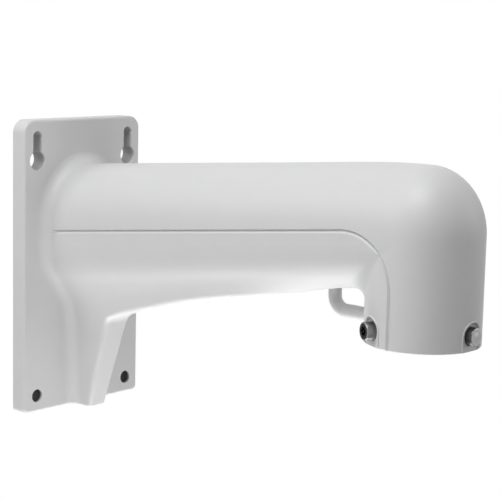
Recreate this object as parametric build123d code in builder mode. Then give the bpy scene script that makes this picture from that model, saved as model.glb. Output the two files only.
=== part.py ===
# Wall bracket for a dome camera: a cast arm that rises from a wall plate and
# ends in a vertical collar. X = 0 is the wall, +X runs out along the arm,
# +Z is up and Y = 0 is the plane of symmetry. All sizes are in millimetres.
import os
from math import acos, cos, degrees, hypot, pi, radians, sin, sqrt

from build123d import *

os.makedirs("parts", exist_ok=True)

# Wall plate and its fixing holes
plate_width = 97.0
plate_height = 182.6
plate_thick = 10.7
plate_corner = 8.0
plate_edge = 1.5
hole_side = 10.5            # from the plate's side edges in to the holes
hole_end = 10.1             # from its ends in to both rows
hole_dia = 8.3
slot_width = 7.0
key_dia = 12.2
key_drop = 14.7             # from the slot's top centre down to the round hole
root_fillet = 7.0           # where arm and foot meet the plate

# Arm: top line, bottom line and the section between them
arm_half = 31.0
arm_top_wall = 61.8
arm_top_slope = 0.0833
arm_top_tip = 83.0
arm_bottom_wall = -20.5
arm_bottom_slope = 0.144
crown_rise = 36.0           # height of the half ellipse over the sides
belly_wall = 31.0           # height of the half ellipse under the sides, at the wall
belly_tip = 25.0            # the same over the collar
wall_thick = 4.5

# Keel and foot under the arm
web_half = 9.0
foot_half = 7.3
flare_radius = 64.0
keel_start = 50.0           # the flare fades out between these two
keel_end = 230.0
keel_flat = 1.5
keel_out = (52.0, 71.0, 110.0, 150.0, 190.0)    # along the keel, from the wall
keel_depth = (14.8, 11.4, 5.9, 2.7, 1.4)        # there, below the arm's bottom line
keel_slope = 0.4
foot_out = 25.0             # foot's reach at the bottom of the plate
foot_lean = 18.7            # how much further it reaches at the knee
knee_z = -31.3              # the knee's height, which stays where the arm is
knee_radius = 8.0
foot_edge = 3.0
foot_wall = 3.0
foot_past = 0.1             # share of the foot's slope that runs on below the plate

# Elbow and collar
collar_x = 274.0
collar_rim = -10.9
rim_edge = 1.0
bore_wall = 6.4
bore_depth = 30.0
elbow_wall = 7.0

# Parting groove on both sides
groove_wall = 20.9
groove_slope = 0.111
groove_start = 15.0
groove_depth = 1.2
groove_bend = 30.0

# Safety loop behind the collar
loop_dia = 7.5
loop_x = 215.0
loop_z = -1.0
loop_bend = 8.0

# Locking screws and their pockets
screw_angle = 116.0
screw_z = -2.8
screw_dia = 6.0
head_dia = 9.8
head_length = 6.0
head_edge = 0.5
socket_radius = 1.9
lobe_radius = 0.8
socket_depth = 3.2
pin_dia = 1.2
pocket_half = 7.3
pocket_depth = 1.4          # from the collar's surface to the pocket's floor
seat_depth = 3.4            # and to the seat under the screw's head
seat_gap = 0.25
thread_gap = 0.05
backed_off = 1.2            # how far the left screw is unscrewed

# How the shapes are built
bays = 7                    # even steps between the arm's sections
margin = 1.0                # how far cutters and searches for edges run past a face
snap = 0.01                 # how close to a plane an edge counts as lying in it

# The elbow is as wide as the arm, and the holes keep their distance from the plate's edges
collar_radius = arm_half
collar_back = collar_x - collar_radius
bore_radius = collar_radius - bore_wall
elbow_radius = collar_radius - elbow_wall
pocket_floor = collar_radius - pocket_depth
seat_radius = collar_radius - seat_depth
plate_bottom = -plate_height / 2
foot_floor = plate_bottom + 2 * wall_thick
foot_rise = knee_z - plate_bottom
bore_top = collar_rim + bore_depth
hole_y = plate_width / 2 - hole_side
hole_z = plate_height / 2 - hole_end
crown_tip = arm_top_tip - crown_rise
level_from = collar_x - 2 * (arm_top_wall + arm_top_slope * collar_x - arm_top_tip) / arm_top_slope

# The flare is an arc of flare_radius that touches the round side and the web
flare_drop = sqrt((arm_half - web_half) * (arm_half + web_half + 2 * flare_radius))
flare_y = arm_half * (web_half + flare_radius) / (arm_half + flare_radius)
belly_turn = degrees(acos(flare_y / arm_half))
web_top = arm_bottom_wall + belly_wall - flare_drop
foot_reach = keel_out[0] + knee_radius
stations = [collar_x * bay / bays for bay in range(bays)] + [collar_x - arm_half / 2, collar_x]


def blend(a, b, t):
    return a + (b - a) * t


def blend_point(a, b, t):
    return (blend(a[0], b[0], t), blend(a[1], b[1], t))


def unit(v):
    return (v[0] / hypot(*v), v[1] / hypot(*v))


def arm_top(x):
    """Straight rise that levels off over the collar."""
    over = max(0.0, x - level_from)
    return arm_top_wall + arm_top_slope * (x - over**2 / (2 * (collar_x - level_from)))


def arm_bottom(x):
    return arm_bottom_wall + arm_bottom_slope * x


def belly(x):
    """Height of the lower half of the section."""
    return blend(belly_wall, belly_tip, x / collar_x)


def keel_share(x):
    """1 at the wall, where the sides flare down into the foot, 0 at the collar."""
    t = min(max((x - keel_start) / (keel_end - keel_start), 0.0), 1.0)
    return 0.5 + 0.5 * cos(pi * t)


def belly_point(x, y):
    return (y, arm_bottom(x) + belly(x) * (1 - sqrt(1 - (y / arm_half) ** 2)))


def belly_way(x, y):
    """Direction of the lower half ellipse at y, towards the middle."""
    return unit((-arm_half * sqrt(1 - (y / arm_half) ** 2), -belly(x) * y / arm_half))


def fair_curve(start, end, way_start, way_end):
    """Cubic from start to end that leaves and arrives along the given ways."""
    third = hypot(end[0] - start[0], end[1] - start[1]) / 3
    leave = (start[0] + way_start[0] * third, start[1] + way_start[1] * third)
    arrive = (end[0] - way_end[0] * third, end[1] - way_end[1] * third)
    Bezier(start, leave, arrive, end)


def arm_section(x):
    """Crown, straight sides, round belly, and the flare towards the web."""
    share = keel_share(x)
    crown = arm_top(x) - crown_rise
    side = arm_bottom(x) + belly(x)
    root = blend_point(belly_point(x, web_half), (web_half, side - flare_drop), share)
    way_root = unit(blend_point(belly_way(x, web_half), (0, -1), share))
    low = blend_point(belly_point(x, keel_flat), (keel_flat, root[1] - keel_flat), share)
    with BuildSketch(Plane.YZ.offset(x)) as section:
        with BuildLine():
            EllipticalCenterArc((0, crown), arm_half, crown_rise, arc_size=90)
            Line((arm_half, crown), (arm_half, side))
            belly_arc = EllipticalCenterArc((0, side), arm_half, belly(x), arc_size=-belly_turn)
            turn = belly_arc @ 1
            fair_curve((turn.X, turn.Y), root, belly_way(x, turn.X), way_root)
            Line(root, low)
            Line(low, (0, low[1]))
            mirror(about=Plane.YZ)
        make_face()
    return section.sketch


def way_section(x):
    """Section of the cable way, inside a wall that thickens towards the elbow."""
    wall = blend(wall_thick, elbow_wall, x / collar_x)
    crown = arm_top(x) - crown_rise
    side = arm_bottom(x) + belly(x)
    with BuildSketch(Plane.YZ.offset(x)) as section:
        with BuildLine():
            EllipticalCenterArc((0, crown), arm_half - wall, crown_rise - wall, arc_size=90)
            Line((arm_half - wall, crown), (arm_half - wall, side))
            EllipticalCenterArc((0, side), arm_half - wall, belly(x) - wall, arc_size=-90)
            mirror(about=Plane.YZ)
        make_face()
    return section.sketch


# Outer form of the arm, from the wall to the elbow
with BuildPart() as arm_outer:
    loft([arm_section(x) for x in stations])

# What lies in front of the foot and under the keel
knee = (foot_out + foot_lean, knee_z)
foot_below = (foot_out - foot_lean * foot_past, plate_bottom - foot_rise * foot_past)
keel = [(x, arm_bottom(x) - depth) for x, depth in zip(keel_out, keel_depth)]
keel_far = (collar_x + collar_radius, arm_bottom(collar_x + collar_radius) - keel_depth[-1])
with BuildPart() as underside:
    with BuildSketch(Plane.XZ):
        with BuildLine():
            FilletPolyline(foot_below, knee, keel[0], radius=knee_radius)
            Spline(*keel, keel_far, tangents=[(1, keel_slope), (1, arm_bottom_slope)])
            Polyline(keel_far, (keel_far[0], foot_below[1]), foot_below)
        make_face()
    extrude(amount=plate_width / 2, both=True)

with BuildPart() as foot:
    with BuildSketch(Plane.YZ):
        Polygon((-web_half, 0), (-web_half, web_top), (-foot_half, plate_bottom), (foot_half, plate_bottom),
                (web_half, web_top), (web_half, 0), align=None)
    extrude(amount=foot_reach)
    add(underside.part, mode=Mode.SUBTRACT)

with BuildPart() as arm:
    add(arm_outer.part)
    add(underside.part, mode=Mode.SUBTRACT)
    add(foot.part)
    foot_front = [
        edge for edge in arm.edges().filter_by(Axis.Y, reverse=True)
        if edge.bounding_box().min.X > foot_out - margin and edge.bounding_box().max.Z < keel[0][1] + margin
    ]
    fillet(foot_front, foot_edge)

collar_axis = Axis((collar_x, 0, 0), (0, 0, 1))


def round_end(radius, rise, bottom):
    """Upright cylinder that ends in a half dome, over its outer half only."""
    with BuildPart() as end:
        with BuildSketch(Plane.XY.offset(bottom)):
            with Locations((collar_x, 0)):
                Circle(radius)
        extrude(amount=crown_tip - bottom)
        with BuildSketch(Plane.YZ.offset(collar_x)):
            with BuildLine():
                EllipticalCenterArc((0, crown_tip), radius, rise, start_angle=90, arc_size=90)
                Polyline((-radius, crown_tip), (0, crown_tip), (0, crown_tip + rise))
            make_face()
        revolve(axis=collar_axis, revolution_arc=180)
    return end.part


# Collar, and the round end of the elbow over its outer half
with BuildPart() as elbow:
    add(round_end(collar_radius, crown_rise, collar_rim))
    fillet(elbow.faces().sort_by(Axis.Z)[0].edges(), rim_edge)

# Hollows: the cable way through arm and elbow down to the bore, and the foot
with BuildPart() as cable_way:
    loft([way_section(x) for x in (0, collar_x / 2, collar_x)])
    add(round_end(elbow_radius, crown_rise - elbow_wall, bore_top))
    with BuildSketch(Plane.XY.offset(collar_rim)):
        with Locations((collar_x, 0)):
            Circle(bore_radius)
    extrude(amount=bore_depth)

with BuildPart() as foot_hollow:
    with BuildSketch(Plane.XZ):
        Polygon((0, foot_floor), (foot_out - wall_thick, foot_floor), (knee[0] - wall_thick, knee[1]),
                (knee[0] - wall_thick, 0), (0, 0), align=None)
    extrude(amount=foot_half - foot_wall, both=True)

with BuildPart() as grooves:
    with BuildLine(Plane.XZ.offset(arm_half)) as groove_line:
        FilletPolyline((groove_start, groove_wall + groove_slope * groove_start),
                       (collar_x, groove_wall + groove_slope * collar_x),
                       (collar_x, collar_rim - margin), radius=groove_bend)
    with BuildSketch(Plane(groove_line.line @ 0, x_dir=(0, 1, 0), z_dir=groove_line.line % 0)):
        Rectangle(groove_depth * sqrt(2), groove_depth * sqrt(2), rotation=45)
    sweep(path=groove_line.line)
    mirror(about=Plane.XZ)

with BuildPart() as loop:
    with BuildLine(Plane.XZ) as loop_line:
        FilletPolyline((loop_x, arm_bottom(loop_x) + wall_thick / 2), (loop_x, loop_z),
                       (collar_back + bore_wall / 2, loop_z), radius=loop_bend)
    with BuildSketch(Plane(loop_line.line @ 0, z_dir=loop_line.line % 0)):
        Circle(loop_dia / 2)
    sweep(path=loop_line.line)


def screw_plane(angle, radius):
    """Plane across a locking screw, facing outwards at a distance from the collar's axis."""
    out = (cos(radians(angle)), sin(radians(angle)), 0)
    origin = (collar_x + radius * out[0], radius * out[1], screw_z)
    return Plane(origin, x_dir=(-out[1], out[0], 0), z_dir=out)


def locking_screw(angle, lift):
    """Cap screw with a pinned six-lobe socket, its head lifted off the seat."""
    outwards = Axis((0, 0, 0), screw_plane(angle, 0).z_dir)
    with BuildPart() as screw:
        with BuildSketch(screw_plane(angle, seat_radius + lift)):
            Circle(head_dia / 2)
        extrude(amount=head_length)
        fillet(screw.edges().filter_by(GeomType.CIRCLE).sort_by(outwards)[-1], head_edge)
        with BuildSketch(screw_plane(angle, bore_radius + lift)):
            Circle(screw_dia / 2)
        extrude(amount=seat_radius - bore_radius)
        with BuildSketch(screw_plane(angle, seat_radius + lift + head_length)):
            Circle(socket_radius)
            with PolarLocations(socket_radius, 6):
                Circle(lobe_radius)
            Circle(pin_dia / 2, mode=Mode.SUBTRACT)
        extrude(amount=-socket_depth, mode=Mode.SUBTRACT)
    return screw.part


def on_plate_front(edge):
    box = edge.bounding_box()
    return max(abs(box.min.X - plate_thick), abs(box.max.X - plate_thick)) < snap


def on_plate_rim(edge):
    """Whether an edge of the plate's front runs along its outline."""
    spot = edge.center()
    return abs(spot.Y) > plate_width / 2 - plate_corner or abs(spot.Z) > plate_height / 2 - plate_corner


with BuildPart() as bracket_body:
    add(arm.part)
    add(elbow.part)
    add(loop.part)
    with BuildSketch(Plane.YZ):
        RectangleRounded(plate_width, plate_height, plate_corner)
    extrude(amount=plate_thick)
    root = [
        edge for edge in bracket_body.edges().filter_by(on_plate_front)
        if not on_plate_rim(edge) and edge.bounding_box().max.Z > plate_bottom + margin
    ]
    fillet(root, root_fillet)
    fillet(bracket_body.edges().filter_by(on_plate_front).filter_by(on_plate_rim), plate_edge)
    add(grooves.part, mode=Mode.SUBTRACT)
    add(cable_way.part, mode=Mode.SUBTRACT)
    add(foot_hollow.part, mode=Mode.SUBTRACT)
    with BuildSketch(Plane.YZ):
        with Locations((-hole_y, -hole_z), (hole_y, -hole_z)):
            Circle(hole_dia / 2)
        for side in (-1, 1):
            with Locations((side * hole_y, hole_z)):
                Circle(slot_width / 2)
            with Locations((side * hole_y, hole_z - key_drop / 2)):
                Rectangle(slot_width, key_drop)
            with Locations((side * hole_y, hole_z - key_drop)):
                Circle(key_dia / 2)
    extrude(amount=plate_thick, mode=Mode.SUBTRACT)
    for angle in (-screw_angle, 0, screw_angle):
        with BuildSketch(screw_plane(angle, pocket_floor)):
            Circle(pocket_half)
            with Locations((0, (collar_rim - screw_z) / 2)):
                Rectangle(2 * pocket_half, screw_z - collar_rim)
        extrude(amount=collar_radius, mode=Mode.SUBTRACT)
        with BuildSketch(screw_plane(angle, seat_radius)):
            Circle(head_dia / 2 + seat_gap)
        extrude(amount=collar_radius, mode=Mode.SUBTRACT)
        with BuildSketch(screw_plane(angle, bore_radius - margin)):
            Circle(screw_dia / 2 + thread_gap)
        extrude(amount=collar_radius, mode=Mode.SUBTRACT)
bracket_body.part.label = "bracket_body"
export_step(bracket_body.part, "parts/bracket_body.step")

with BuildPart() as lock_screw_left:
    add(locking_screw(-screw_angle, backed_off))
lock_screw_left.part.label = "lock_screw_left"
export_step(lock_screw_left.part, "parts/lock_screw_left.step")

with BuildPart() as lock_screw_front:
    add(locking_screw(0, 0))
lock_screw_front.part.label = "lock_screw_front"
export_step(lock_screw_front.part, "parts/lock_screw_front.step")

with BuildPart() as lock_screw_right:
    add(locking_screw(screw_angle, 0))
lock_screw_right.part.label = "lock_screw_right"
export_step(lock_screw_right.part, "parts/lock_screw_right.step")
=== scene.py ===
import math

import bmesh
import bpy
from mathutils import Matrix, Vector
from mathutils.bvhtree import BVHTree


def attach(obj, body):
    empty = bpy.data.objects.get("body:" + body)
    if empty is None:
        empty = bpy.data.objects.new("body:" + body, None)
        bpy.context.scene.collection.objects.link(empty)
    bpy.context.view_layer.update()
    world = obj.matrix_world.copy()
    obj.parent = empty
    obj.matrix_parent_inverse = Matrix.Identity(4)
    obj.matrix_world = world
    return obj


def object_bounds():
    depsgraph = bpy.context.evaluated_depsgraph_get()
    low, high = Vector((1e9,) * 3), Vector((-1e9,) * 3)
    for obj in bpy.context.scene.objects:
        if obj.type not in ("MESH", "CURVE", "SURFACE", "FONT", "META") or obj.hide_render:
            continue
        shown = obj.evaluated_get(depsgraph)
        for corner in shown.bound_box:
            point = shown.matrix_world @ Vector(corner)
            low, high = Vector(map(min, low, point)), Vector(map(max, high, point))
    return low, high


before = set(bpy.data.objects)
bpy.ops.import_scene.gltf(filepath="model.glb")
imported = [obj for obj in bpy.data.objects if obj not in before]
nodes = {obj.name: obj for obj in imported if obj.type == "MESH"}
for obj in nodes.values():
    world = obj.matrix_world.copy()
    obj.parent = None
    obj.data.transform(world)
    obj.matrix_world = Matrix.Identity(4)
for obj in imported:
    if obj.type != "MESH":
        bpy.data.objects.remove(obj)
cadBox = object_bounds()

# Places in the CAD that several pieces share
collarAxis = 0.274              # the collar's axis along X
collarRadius = 0.031
screwHeight = -0.0028           # the locking screws' axes, in Z

# Camera at the photo's angle, in metres and degrees
view = {
    "azimuth": 41.343,
    "height": 8.584,
    "roll": 1.339,
    "place": (0.725903, -0.652245, 0.155231),
    "lens": 110.16,
    "sensor": 36.0,
    "near": 0.01,
}


def placeCamera(settings):
    az, el, roll = (math.radians(settings[k]) for k in ("azimuth", "height", "roll"))
    back = Vector((math.sin(az) * math.cos(el), -math.cos(az) * math.cos(el), math.sin(el)))
    level = Vector((math.cos(az), math.sin(az), 0))
    rise = back.cross(level)
    right = level * math.cos(roll) + rise * math.sin(roll)
    up = rise * math.cos(roll) - level * math.sin(roll)
    data = bpy.data.cameras.new("photoCamera")
    data.lens = settings["lens"]
    data.sensor_width = settings["sensor"]
    data.clip_start = settings["near"]
    camera = bpy.data.objects.new("photoCamera", data)
    bpy.context.scene.collection.objects.link(camera)
    turn = Matrix((right, up, back)).transposed().to_4x4()
    camera.matrix_world = Matrix.Translation(settings["place"]) @ turn
    bpy.context.scene.camera = camera


placeCamera(view)
print("camera placed")

# Soft studio light: high in front, weaker at the left and behind, and two low lamps
studio = {
    "ambient": 0.22,
    "lamps": {
        "highLamp": {"place": (0.28, -0.45, 0.78), "size": 0.5, "power": 6.0},
        "leftLamp": {"place": (-0.3, -0.66, 0.5), "size": 0.4, "power": 2.2},
        "backLamp": {"place": (0.8, 0.65, 0.2), "size": 0.5, "power": 1.5},
        "lowLamp": {"place": (0.13, 0.0, -0.5), "size": 0.5, "power": 3.5},
        "frontLowLamp": {"place": (0.25, -0.6, -0.45), "size": 0.4, "power": 0.5},
    },
    "aim": (0.15, 0.0, 0.0),
    "floorDepth": 0.55,
    "floorMiddle": 0.12,            # in X, under the arm
    "floorRadius": 0.9,
    "floorSides": 96,
    "floorRoughness": 0.9,
    "floorColor": (0.9, 0.9, 0.9),
    "floorFade": (0.12, 0.8),       # the floor fades into the white between these radii
}


def addLamp(name, settings):
    data = bpy.data.lights.new(name, "AREA")
    data.size = settings["size"]
    data.energy = settings["power"]
    lamp = bpy.data.objects.new(name, data)
    bpy.context.scene.collection.objects.link(lamp)
    lamp.location = settings["place"]
    aim = Vector(studio["aim"]) - lamp.location
    lamp.rotation_euler = aim.to_track_quat("-Z", "Y").to_euler()
    lamp.visible_camera = False


for lampName, lampSettings in studio["lamps"].items():
    addLamp(lampName, lampSettings)


def newMaterial(name):
    material = bpy.data.materials.new(name)
    material.use_nodes = True
    tree = material.node_tree
    return material, tree, tree.nodes["Principled BSDF"]


def addNode(tree, kind, **values):
    node = tree.nodes.new(kind)
    for key, value in values.items():
        if hasattr(node, key):
            setattr(node, key, value)
        else:
            node.inputs[key].default_value = value
    return node


def calc(tree, operation, *terms):
    # Math node whose terms are numbers or other nodes' outputs
    node = tree.nodes.new("ShaderNodeMath")
    node.operation = operation
    for socket, term in zip(node.inputs, terms):
        if isinstance(term, (int, float)):
            socket.default_value = term
        else:
            tree.links.new(term, socket)
    return node.outputs[0]


def mixShaders(tree, share, first, second):
    node = addNode(tree, "ShaderNodeMixShader")
    for socket, output in zip(node.inputs, (share, first.outputs[0], second.outputs[0])):
        tree.links.new(output, socket)
    return node.outputs[0]


def rampBetween(tree, value, start, end):
    node = addNode(tree, "ShaderNodeMapRange")
    node.inputs["From Min"].default_value = start
    node.inputs["From Max"].default_value = end
    tree.links.new(value, node.inputs["Value"])
    return node.outputs["Result"]


def buildWorld():
    # White for what is seen or mirrored, a plain grey level for the light it gives
    world = bpy.data.worlds.new("studioWorld")
    bpy.context.scene.world = world
    world.use_nodes = True
    tree = world.node_tree
    tree.nodes.clear()
    light = addNode(tree, "ShaderNodeBackground", Color=(1, 1, 1, 1), Strength=studio["ambient"])
    white = addNode(tree, "ShaderNodeBackground", Color=(1, 1, 1, 1), Strength=1.0)
    ray = addNode(tree, "ShaderNodeLightPath").outputs
    seen = calc(tree, "MAXIMUM", ray["Is Camera Ray"], ray["Is Glossy Ray"])
    seen = calc(tree, "MAXIMUM", seen, ray["Is Transmission Ray"])
    mixed = mixShaders(tree, seen, light, white)
    tree.links.new(mixed, addNode(tree, "ShaderNodeOutputWorld").inputs["Surface"])


buildWorld()


def buildFloor():
    bpy.ops.mesh.primitive_circle_add(vertices=studio["floorSides"], radius=studio["floorRadius"],
                                      fill_type="NGON")
    floor = bpy.context.object
    floor.name = "floor"
    floor.location = (studio["floorMiddle"], 0, -studio["floorDepth"])
    material, tree, shader = newMaterial("paleFloor")
    shader.inputs["Base Color"].default_value = (*studio["floorColor"], 1)
    shader.inputs["Roughness"].default_value = studio["floorRoughness"]
    # Towards its rim the camera sees the floor as the white background
    white = addNode(tree, "ShaderNodeEmission", Strength=1.0)
    place = addNode(tree, "ShaderNodeTexCoord")
    away = addNode(tree, "ShaderNodeVectorMath", operation="LENGTH")
    tree.links.new(place.outputs["Object"], away.inputs[0])
    share = rampBetween(tree, away.outputs["Value"], *studio["floorFade"])
    ray = addNode(tree, "ShaderNodeLightPath").outputs
    seen = calc(tree, "MULTIPLY", share, ray["Is Camera Ray"])
    mixed = mixShaders(tree, seen, shader, white)
    tree.links.new(mixed, tree.nodes["Material Output"].inputs["Surface"])
    floor.data.materials.append(material)


buildFloor()
print("studio ready")

# Powder coat: pale grey, faintly mottled, with the fine orange peel of the real finish.
# Inside the wall holes the colour is painted dark, as painted shade in the bores
paint = {
    "color": (0.605, 0.606, 0.61),
    "colorDark": (0.58, 0.581, 0.585),
    "mottleScale": 60,
    "mottleDetail": 4.0,
    "speckColor": (0.2, 0.2, 0.2),
    "speckScale": 1500,
    "speckDetail": 1.0,
    "speck": 0.03,                  # how much the fine grain changes the colour
    "roughness": (0.42, 0.5),
    "gloss": 0.4,
    "peelScale": 900,
    "peelDetail": 2.0,
    "peelStrength": 0.08,
    "peelDepth": 0.0004,
    # Painted shade: the colour that darkens the inside of each wall hole
    "boreShadeColor": (0.03, 0.03, 0.032),
    "boreMouth": (0.0100, 0.0085),  # the painted shade in the bores fades in between these places in X
    "boreBack": 0.0002,             # the plate's back face gets no painted shade
    # Each pair's middle in Y and Z, its height scale, radius and darkness
    "hole": {"at": (0.038, -0.0812), "tall": 1.0, "radius": 0.0045, "dark": 1.0},
    "keyhole": {"at": (0.038, 0.07255), "tall": 0.5, "radius": 0.0076, "dark": 0.35},
}


def noise(tree, place, scale, detail):
    node = addNode(tree, "ShaderNodeTexNoise", Scale=scale, Detail=detail)
    tree.links.new(place, node.inputs["Vector"])
    return node.outputs["Fac"]


def mixColors(tree, share, first, second):
    # First and second are colours or other nodes' outputs
    node = addNode(tree, "ShaderNodeMix", data_type="RGBA")
    tree.links.new(share, node.inputs["Factor"])
    colorInputs = [socket for socket in node.inputs if socket.type == "RGBA"]
    for socket, color in zip(colorInputs, (first, second)):
        if isinstance(color, tuple):
            socket.default_value = (*color, 1)
        else:
            tree.links.new(color, socket)
    return next(socket for socket in node.outputs if socket.type == "RGBA")


def scaled(tree, value, low, high):
    # From 0 to 1 onto low to high
    return calc(tree, "ADD", calc(tree, "MULTIPLY", value, high - low), low)


def splitAxes(tree, place):
    node = addNode(tree, "ShaderNodeSeparateXYZ")
    tree.links.new(place, node.inputs[0])
    return node.outputs


def lengthOf(tree, across, along):
    squares = [calc(tree, "MULTIPLY", part, part) for part in (across, along)]
    return calc(tree, "SQRT", calc(tree, "ADD", *squares))


def nearHole(tree, axes, settings):
    # Share of painted shade round a hole's axis, the same on both sides of the plate
    middleY, middleZ = settings["at"]
    across = calc(tree, "SUBTRACT", calc(tree, "ABSOLUTE", axes["Y"]), middleY)
    along = calc(tree, "MULTIPLY", calc(tree, "SUBTRACT", axes["Z"], middleZ), settings["tall"])
    near = calc(tree, "LESS_THAN", lengthOf(tree, across, along), settings["radius"])
    return calc(tree, "MULTIPLY", near, settings["dark"])


def bumpFrom(tree, height, strength, distance):
    node = addNode(tree, "ShaderNodeBump", Strength=strength, Distance=distance)
    tree.links.new(height, node.inputs["Height"])
    return node.outputs["Normal"]


def paintMaterial(settings):
    material, tree, shader = newMaterial("powderCoat")
    place = addNode(tree, "ShaderNodeTexCoord").outputs["Object"]
    axes = splitAxes(tree, place)
    mottle = noise(tree, place, settings["mottleScale"], settings["mottleDetail"])
    coat = mixColors(tree, mottle, settings["colorDark"], settings["color"])
    speck = noise(tree, place, settings["speckScale"], settings["speckDetail"])
    dull = calc(tree, "MULTIPLY", speck, settings["speck"])
    coat = mixColors(tree, dull, coat, settings["speckColor"])
    # Painted shade darkens the colour inside the wall holes and keyholes
    hole, keyhole = (nearHole(tree, axes, settings[kind]) for kind in ("hole", "keyhole"))
    mouth = rampBetween(tree, axes["X"], *settings["boreMouth"])
    inside = calc(tree, "GREATER_THAN", axes["X"], settings["boreBack"])
    holes = calc(tree, "MAXIMUM", hole, keyhole)
    boreShade = calc(tree, "MULTIPLY", holes, calc(tree, "MULTIPLY", mouth, inside))
    tree.links.new(mixColors(tree, boreShade, coat, settings["boreShadeColor"]), shader.inputs["Base Color"])
    tree.links.new(scaled(tree, mottle, *settings["roughness"]), shader.inputs["Roughness"])
    peel = noise(tree, place, settings["peelScale"], settings["peelDetail"])
    bumps = bumpFrom(tree, peel, settings["peelStrength"], settings["peelDepth"])
    tree.links.new(bumps, shader.inputs["Normal"])
    shader.inputs["Specular IOR Level"].default_value = settings["gloss"]
    return material


# Turned steel of the locking screws, with painted shade in and round the socket of each and painted
# dark reflection on the head's side
steel = {
    "color": (0.2, 0.2, 0.205),
    "colorBright": (0.34, 0.34, 0.345),
    "steelShadeColor": (0.012, 0.012, 0.013),
    "roughness": (0.26, 0.42),
    "axis": (collarAxis, 0, screwHeight),       # where the screws' axes meet
    "faceFrom": 0.030,              # from here outwards along the screw the socket's painted shade may lie
    "head": 0.0047,                 # radius where the head's side begins
    "grainScale": 1400,
    "grainDetail": 3.0,
    "turnings": 10400,              # radians of the turning marks in a metre
    "turningStrength": 0.15,
    "turningDepth": 0.00003,
}
# Each screw's way round the collar in degrees, the radius of the painted shade round its socket, and
# how much painted shade and dark reflection its side gets
screws = {
    "left": {"turn": -116, "socket": 0.0042, "flank": 0.2},
    "front": {"turn": 0, "socket": 0.0, "flank": 0.6},
    "right": {"turn": 116, "socket": 0.0030, "flank": 0.3},
}


def steelMaterial(name, settings, screw):
    material, tree, shader = newMaterial(name)
    place = addNode(tree, "ShaderNodeTexCoord").outputs["Object"]
    # The screw's own axis becomes X
    own = addNode(tree, "ShaderNodeMapping", vector_type="TEXTURE", Location=settings["axis"],
                  Rotation=(0, 0, math.radians(screw["turn"])))
    tree.links.new(place, own.inputs["Vector"])
    axes = splitAxes(tree, own.outputs[0])
    away = lengthOf(tree, axes["Y"], axes["Z"])
    grain = noise(tree, place, settings["grainScale"], settings["grainDetail"])
    bright = mixColors(tree, grain, settings["color"], settings["colorBright"])
    atFace = calc(tree, "GREATER_THAN", axes["X"], settings["faceFrom"])
    # Painted shade and dark reflection: near-black colour over the socket and the head's side
    socket = calc(tree, "MULTIPLY", calc(tree, "LESS_THAN", away, screw["socket"]), atFace)
    flank = calc(tree, "MULTIPLY", calc(tree, "GREATER_THAN", away, settings["head"]), screw["flank"])
    dark = calc(tree, "MAXIMUM", socket, flank)
    tree.links.new(mixColors(tree, dark, bright, settings["steelShadeColor"]), shader.inputs["Base Color"])
    tree.links.new(scaled(tree, grain, *settings["roughness"]), shader.inputs["Roughness"])
    marks = calc(tree, "MULTIPLY", calc(tree, "ADD", away, axes["X"]), settings["turnings"])
    waves = calc(tree, "SINE", marks)
    bumps = bumpFrom(tree, waves, settings["turningStrength"], settings["turningDepth"])
    tree.links.new(bumps, shader.inputs["Normal"])
    shader.inputs["Metallic"].default_value = 1.0
    return material


def dress(node, material):
    node.data.materials.clear()
    node.data.materials.append(material)


powderCoat = paintMaterial(paint)
dress(nodes["bracket_body"], powderCoat)
steels = {}
for side, screw in screws.items():
    steels[side] = steelMaterial(f"screwSteel{side.capitalize()}", steel, screw)
    dress(nodes[f"lock_screw_{side}"], steels[side])
print("finishes assigned")

# How all the pieces are made
making = {
    "edgeAngle": math.radians(30),  # sharper turns than this keep their edge
    "merge": 1e-6,
    "probe": 0.1,                   # rays towards the casting start this far out
}


def addPiece(name, shape, material):
    # Smooth faces, with the edges kept where the form really turns
    for face in shape.faces:
        face.smooth = True
    for edge in shape.edges:
        edge.smooth = edge.calc_face_angle(0) < making["edgeAngle"]
    mesh = bpy.data.meshes.new(name)
    shape.to_mesh(mesh)
    shape.free()
    mesh.materials.append(material)
    piece = bpy.data.objects.new(name, mesh)
    bpy.context.scene.collection.objects.link(piece)
    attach(piece, "root")
    return piece


def loftPiece(name, rings, material):
    # Closed skin over a row of equal rings of points
    steps, sides = len(rings) - 1, len(rings[0])
    shape = bmesh.new()
    bmesh.ops.create_grid(shape, x_segments=steps, y_segments=sides, size=0.5)      # a metre wide
    for vert in shape.verts:
        step, side = round((vert.co.x + 0.5) * steps), round((vert.co.y + 0.5) * sides)
        vert.co = rings[step][side % sides]
    bmesh.ops.remove_doubles(shape, verts=shape.verts, dist=making["merge"])
    bmesh.ops.holes_fill(shape, edges=[edge for edge in shape.edges if edge.is_boundary])
    bmesh.ops.recalc_face_normals(shape, faces=shape.faces)
    return addPiece(name, shape, material)


# Round blend of the inside corner under the arm, where it runs down into the collar
cornerBlend = {
    "radius": 0.010,
    "reach": 76,                    # degrees each way round the collar, short of the groove
    "fade": 66,                     # the radius shrinks from here on
    "least": 0.7,                   # share of the radius that is left at the ends
    "steps": 88,
    "segments": 22,
    "tuck": 0.0012,                 # how deep its hidden edge lies in the casting
    "underFrom": (0.12, 0.008),     # the arm's underside starts here in X and Z
    "underSlope": -0.05,            # its faces look down by more than this
    "heights": (-0.02, 0.045),      # the rolling ball's middle lies between these
    "tries": 30,                    # halvings on the way to the ball's height
}


def armUnderside(body, settings):
    # Faces of the casting that look down over the collar's back
    fromX, fromZ = settings["underFrom"]
    under = bmesh.new()
    under.from_mesh(body.data)
    others = []
    for face in under.faces:
        middle = face.calc_center_median()
        if face.normal.z > settings["underSlope"] or middle.x < fromX or middle.z < fromZ:
            others.append(face)
    bmesh.ops.delete(under, geom=others, context="FACES")
    tree = BVHTree.FromBMesh(under)
    under.free()
    return tree


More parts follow.
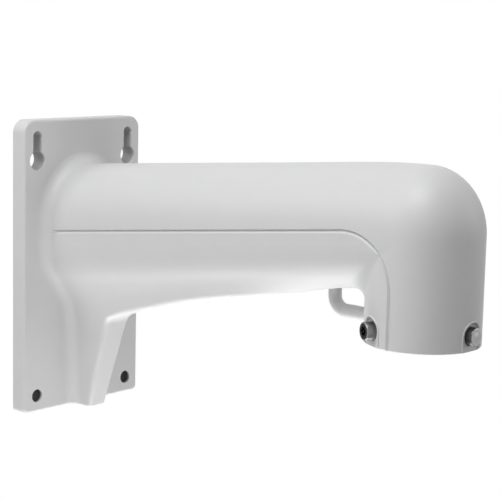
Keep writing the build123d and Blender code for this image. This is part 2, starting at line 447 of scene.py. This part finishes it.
def blendRing(tree, turn, settings):
    # Section of the blend: an arc of a ball that touches collar and arm, and a hidden corner
    fade = max(0.0, abs(turn) - settings["fade"]) / (settings["reach"] - settings["fade"])
    eased = fade * fade * (3 - 2 * fade)
    radius = settings["radius"] * (1 - (1 - settings["least"]) * eased)
    out = Vector((-math.cos(math.radians(turn)), math.sin(math.radians(turn)), 0))
    centre = Vector((collarAxis, 0, 0)) + out * (collarRadius + radius)
    low, high = settings["heights"]
    for _ in range(settings["tries"]):
        centre.z = (low + high) / 2
        touch, _, _, distance = tree.find_nearest(centre)
        if distance > radius and touch.z > centre.z:
            low = centre.z
        else:
            high = centre.z
    first, last = -out, (touch - centre).normalized()
    angle = first.angle(last)
    ring = []
    for k in range(settings["segments"] + 1):
        share = k / settings["segments"]
        way = first * math.sin((1 - share) * angle) + last * math.sin(share * angle)
        ring.append(centre + way.normalized() * radius)
    corner = radius / math.cos(angle / 2) + settings["tuck"]
    ring.append(centre + (first + last).normalized() * corner)
    return ring


def buildCornerBlend(settings):
    tree = armUnderside(nodes["bracket_body"], settings)
    reach, steps = settings["reach"], settings["steps"]
    turns = [reach * (2 * step / steps - 1) for step in range(steps + 1)]
    rings = [blendRing(tree, turn, settings) for turn in turns]
    loftPiece("corner_blend", rings, powderCoat)


buildCornerBlend(cornerBlend)
print("corner blended")

# Raised lip round the arched pocket of each locking screw
pocketLip = {
    "half": 0.0076,                 # half the lip's width
    "foot": -0.0100,                # its ends, just above the collar's rim
    "radius": 0.00055,
    "arcSteps": 32,
    "sides": 10,
}


def lipPoint(turn, across, height):
    # Point on the collar, and the direction straight out of it
    angle = math.radians(turn) + math.asin(across / collarRadius)
    out = Vector((math.cos(angle), math.sin(angle), 0))
    return Vector((collarAxis, 0, height)) + out * collarRadius, out


def buildPocketLip(side, turn, settings):
    half, steps = settings["half"], settings["arcSteps"]
    spots = [(-half, settings["foot"])]
    for step in range(steps + 1):
        angle = math.pi * (1 - step / steps)
        spots.append((half * math.cos(angle), screwHeight + half * math.sin(angle)))
    spots.append((half, settings["foot"]))
    line = [lipPoint(turn, across, height) for across, height in spots]
    rings = []
    for k, (point, out) in enumerate(line):
        before, after = line[max(k - 1, 0)][0], line[min(k + 1, len(line) - 1)][0]
        beside = (after - before).cross(out).normalized()
        ring = []
        for corner in range(settings["sides"]):
            angle = 2 * math.pi * corner / settings["sides"]
            way = out * math.cos(angle) + beside * math.sin(angle)
            ring.append(point + way * settings["radius"])
        rings.append(ring)
    loftPiece(f"pocket_lip_{side}", rings, powderCoat)


for side, screw in screws.items():
    buildPocketLip(side, screw["turn"], pocketLip)
print("pocket lips added")

# Ramp at the start of the parting groove, which the mould leaves there
grooveRamp = {
    "from": (0.0148, 0.02255),      # the groove's start in X and Z
    "to": (0.0215, 0.02330),        # where the ramp has sunk to the groove's floor
    "half": 0.0013,                 # half the groove's width
    "floor": 0.0297,                # the groove's floor, from the middle plane
    "sunk": 0.00003,                # how deep its first edge lies in the casting
    "tip": 0.00005,                 # half the width of its tip
    "tipDepth": 0.0003,
}


def buildGrooveRamp(settings):
    body = bmesh.new()
    body.from_mesh(nodes["bracket_body"].data)
    tree = BVHTree.FromBMesh(body)
    body.free()
    fromX, fromZ = settings["from"]
    toX, toZ = settings["to"]
    half, floor = settings["half"], settings["floor"]
    lips = []
    for height in (fromZ + half, fromZ - half):
        spot = tree.ray_cast(Vector((fromX, -making["probe"], height)), Vector((0, 1, 0)))[0]
        lips.append(spot + Vector((0, settings["sunk"], 0)))
    start = [*lips, Vector((fromX, -floor, fromZ))]
    tip, aside = Vector((toX, -floor, toZ)), Vector((0, 0, settings["tip"]))
    end = [tip + aside, tip - aside, tip + Vector((0, settings["tipDepth"], 0))]
    loftPiece("groove_ramp", [start, end], powderCoat)


buildGrooveRamp(grooveRamp)
print("groove ramp added")

# The plate's two lower corners are tighter than the upper ones
tightCorner = {
    "half": cadBox[1][1],           # half the plate's width, which is the widest of all
    "bottom": cadBox[0][2],
    "thick": 0.0107,
    "edge": 0.0015,
    "wide": 0.008,                  # the casting's corner radius
    "radius": 0.0035,               # the finished corner's
    "inner": 0.0065,                # the casting's front is flat up to here
    "arcSteps": 12,
    "edgeSteps": 6,
}


def cornerStations(settings):
    # Along the edge: place and way inwards, for a corner at the origin that points to +Y and -Z
    wide, radius, steps = settings["wide"], settings["radius"], settings["arcSteps"]
    stations = [(Vector((0, 0, wide)), Vector((0, -1, 0)))]
    centre = Vector((0, -radius, radius))
    for step in range(steps + 1):
        angle = math.pi / 2 * step / steps
        out = Vector((0, math.cos(angle), -math.sin(angle)))
        stations.append((centre + out * radius, -out))
    stations.append((Vector((0, -wide, 0)), Vector((0, 0, 1))))
    return stations


def buildTightCorner(side, sign, settings):
    thick, edge = settings["thick"], settings["edge"]
    stations = cornerStations(settings)
    corner = Vector((0, settings["half"], settings["bottom"]))
    middle = Vector((0, -settings["wide"], settings["wide"]))
    rings = []
    for k, (place, inward) in enumerate(stations):
        angle = math.pi / 2 * k / (len(stations) - 1)
        way = Vector((0, math.cos(angle), -math.sin(angle)))
        front, back = middle + way * settings["inner"], middle + way * settings["wide"]
        ring = [place.copy()]
        for step in range(settings["edgeSteps"] + 1):
            bend = math.pi / 2 * step / settings["edgeSteps"]
            height = thick - edge + edge * math.sin(bend)
            ring.append(place + inward * edge * (1 - math.cos(bend)) + Vector((height, 0, 0)))
        ring += [front + Vector((thick, 0, 0)), back]
        ring = [corner + point for point in ring]
        rings.append([Vector((point.x, sign * point.y, point.z)) for point in ring])
    loftPiece(f"plate_corner_{side}", rings, powderCoat)


for side, sign in (("left", -1), ("right", 1)):
    buildTightCorner(side, sign, tightCorner)
print("plate corners tightened")

# Plain insert that closes the front screw's socket
frontInsert = {
    "out": 0.03333,                 # its middle from the collar's axis, just under the head's face
    "radius": 0.0029,
    "thick": 0.0005,
    "bevel": 0.00005,
    "bevelSteps": 2,
    "segments": 48,
}


def buildFrontInsert(settings):
    shape = bmesh.new()
    place = Vector((collarAxis + settings["out"], 0, screwHeight))
    outwards = Matrix.Translation(place) @ Matrix.Rotation(math.pi / 2, 4, "Y")
    radius = settings["radius"]
    bmesh.ops.create_cone(shape, cap_ends=True, segments=settings["segments"], radius1=radius,
                          radius2=radius, depth=settings["thick"], matrix=outwards)
    rim = [edge for edge in shape.edges if edge.calc_face_angle(0) > making["edgeAngle"]]
    bmesh.ops.bevel(shape, geom=rim, affect="EDGES", offset=settings["bevel"],
                    segments=settings["bevelSteps"], profile=0.5, material=-1)
    addPiece("front_screw_insert", shape, steels["front"])


buildFrontInsert(frontInsert)
print("front screw closed")

bpy.context.scene.view_settings.view_transform = "Standard"
